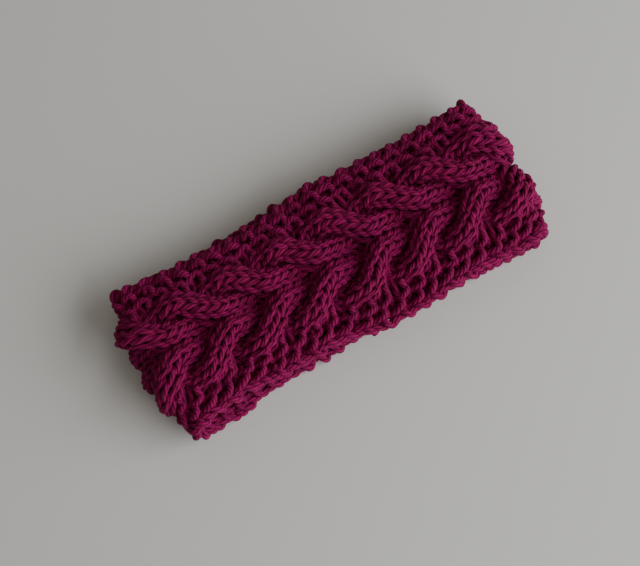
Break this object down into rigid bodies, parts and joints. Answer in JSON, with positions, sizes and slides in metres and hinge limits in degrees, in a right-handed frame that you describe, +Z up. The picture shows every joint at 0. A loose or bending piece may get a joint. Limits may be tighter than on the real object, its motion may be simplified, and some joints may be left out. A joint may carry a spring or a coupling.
{
  "type": "cable knit headband",
  "caption": "Wide knitted band in a closed loop, with a braided cable along its middle and ridged garter-stitch edges, lying folded flat.",
  "frame": {"origin": "centre of the band's box, on the table under it", "axes": "+X along the folded band from fold to fold, +Y across it towards the far border, +Z up through the two layers"},
  "size_m": [0.2434, 0.099, 0.0318],
  "materials": {
    "yarn": "soft plied yarn, matte with a little fuzz"
  },
  "bodies": {
    "root": {"upper_border": "yarn", "upper_cable_strand_1": "yarn", "upper_cable_strand_2": "yarn", "lower_cable_strand_1": "yarn", "lower_cable_strand_2": "yarn", "lower_border": "yarn"}
  },
  "joints": []
}
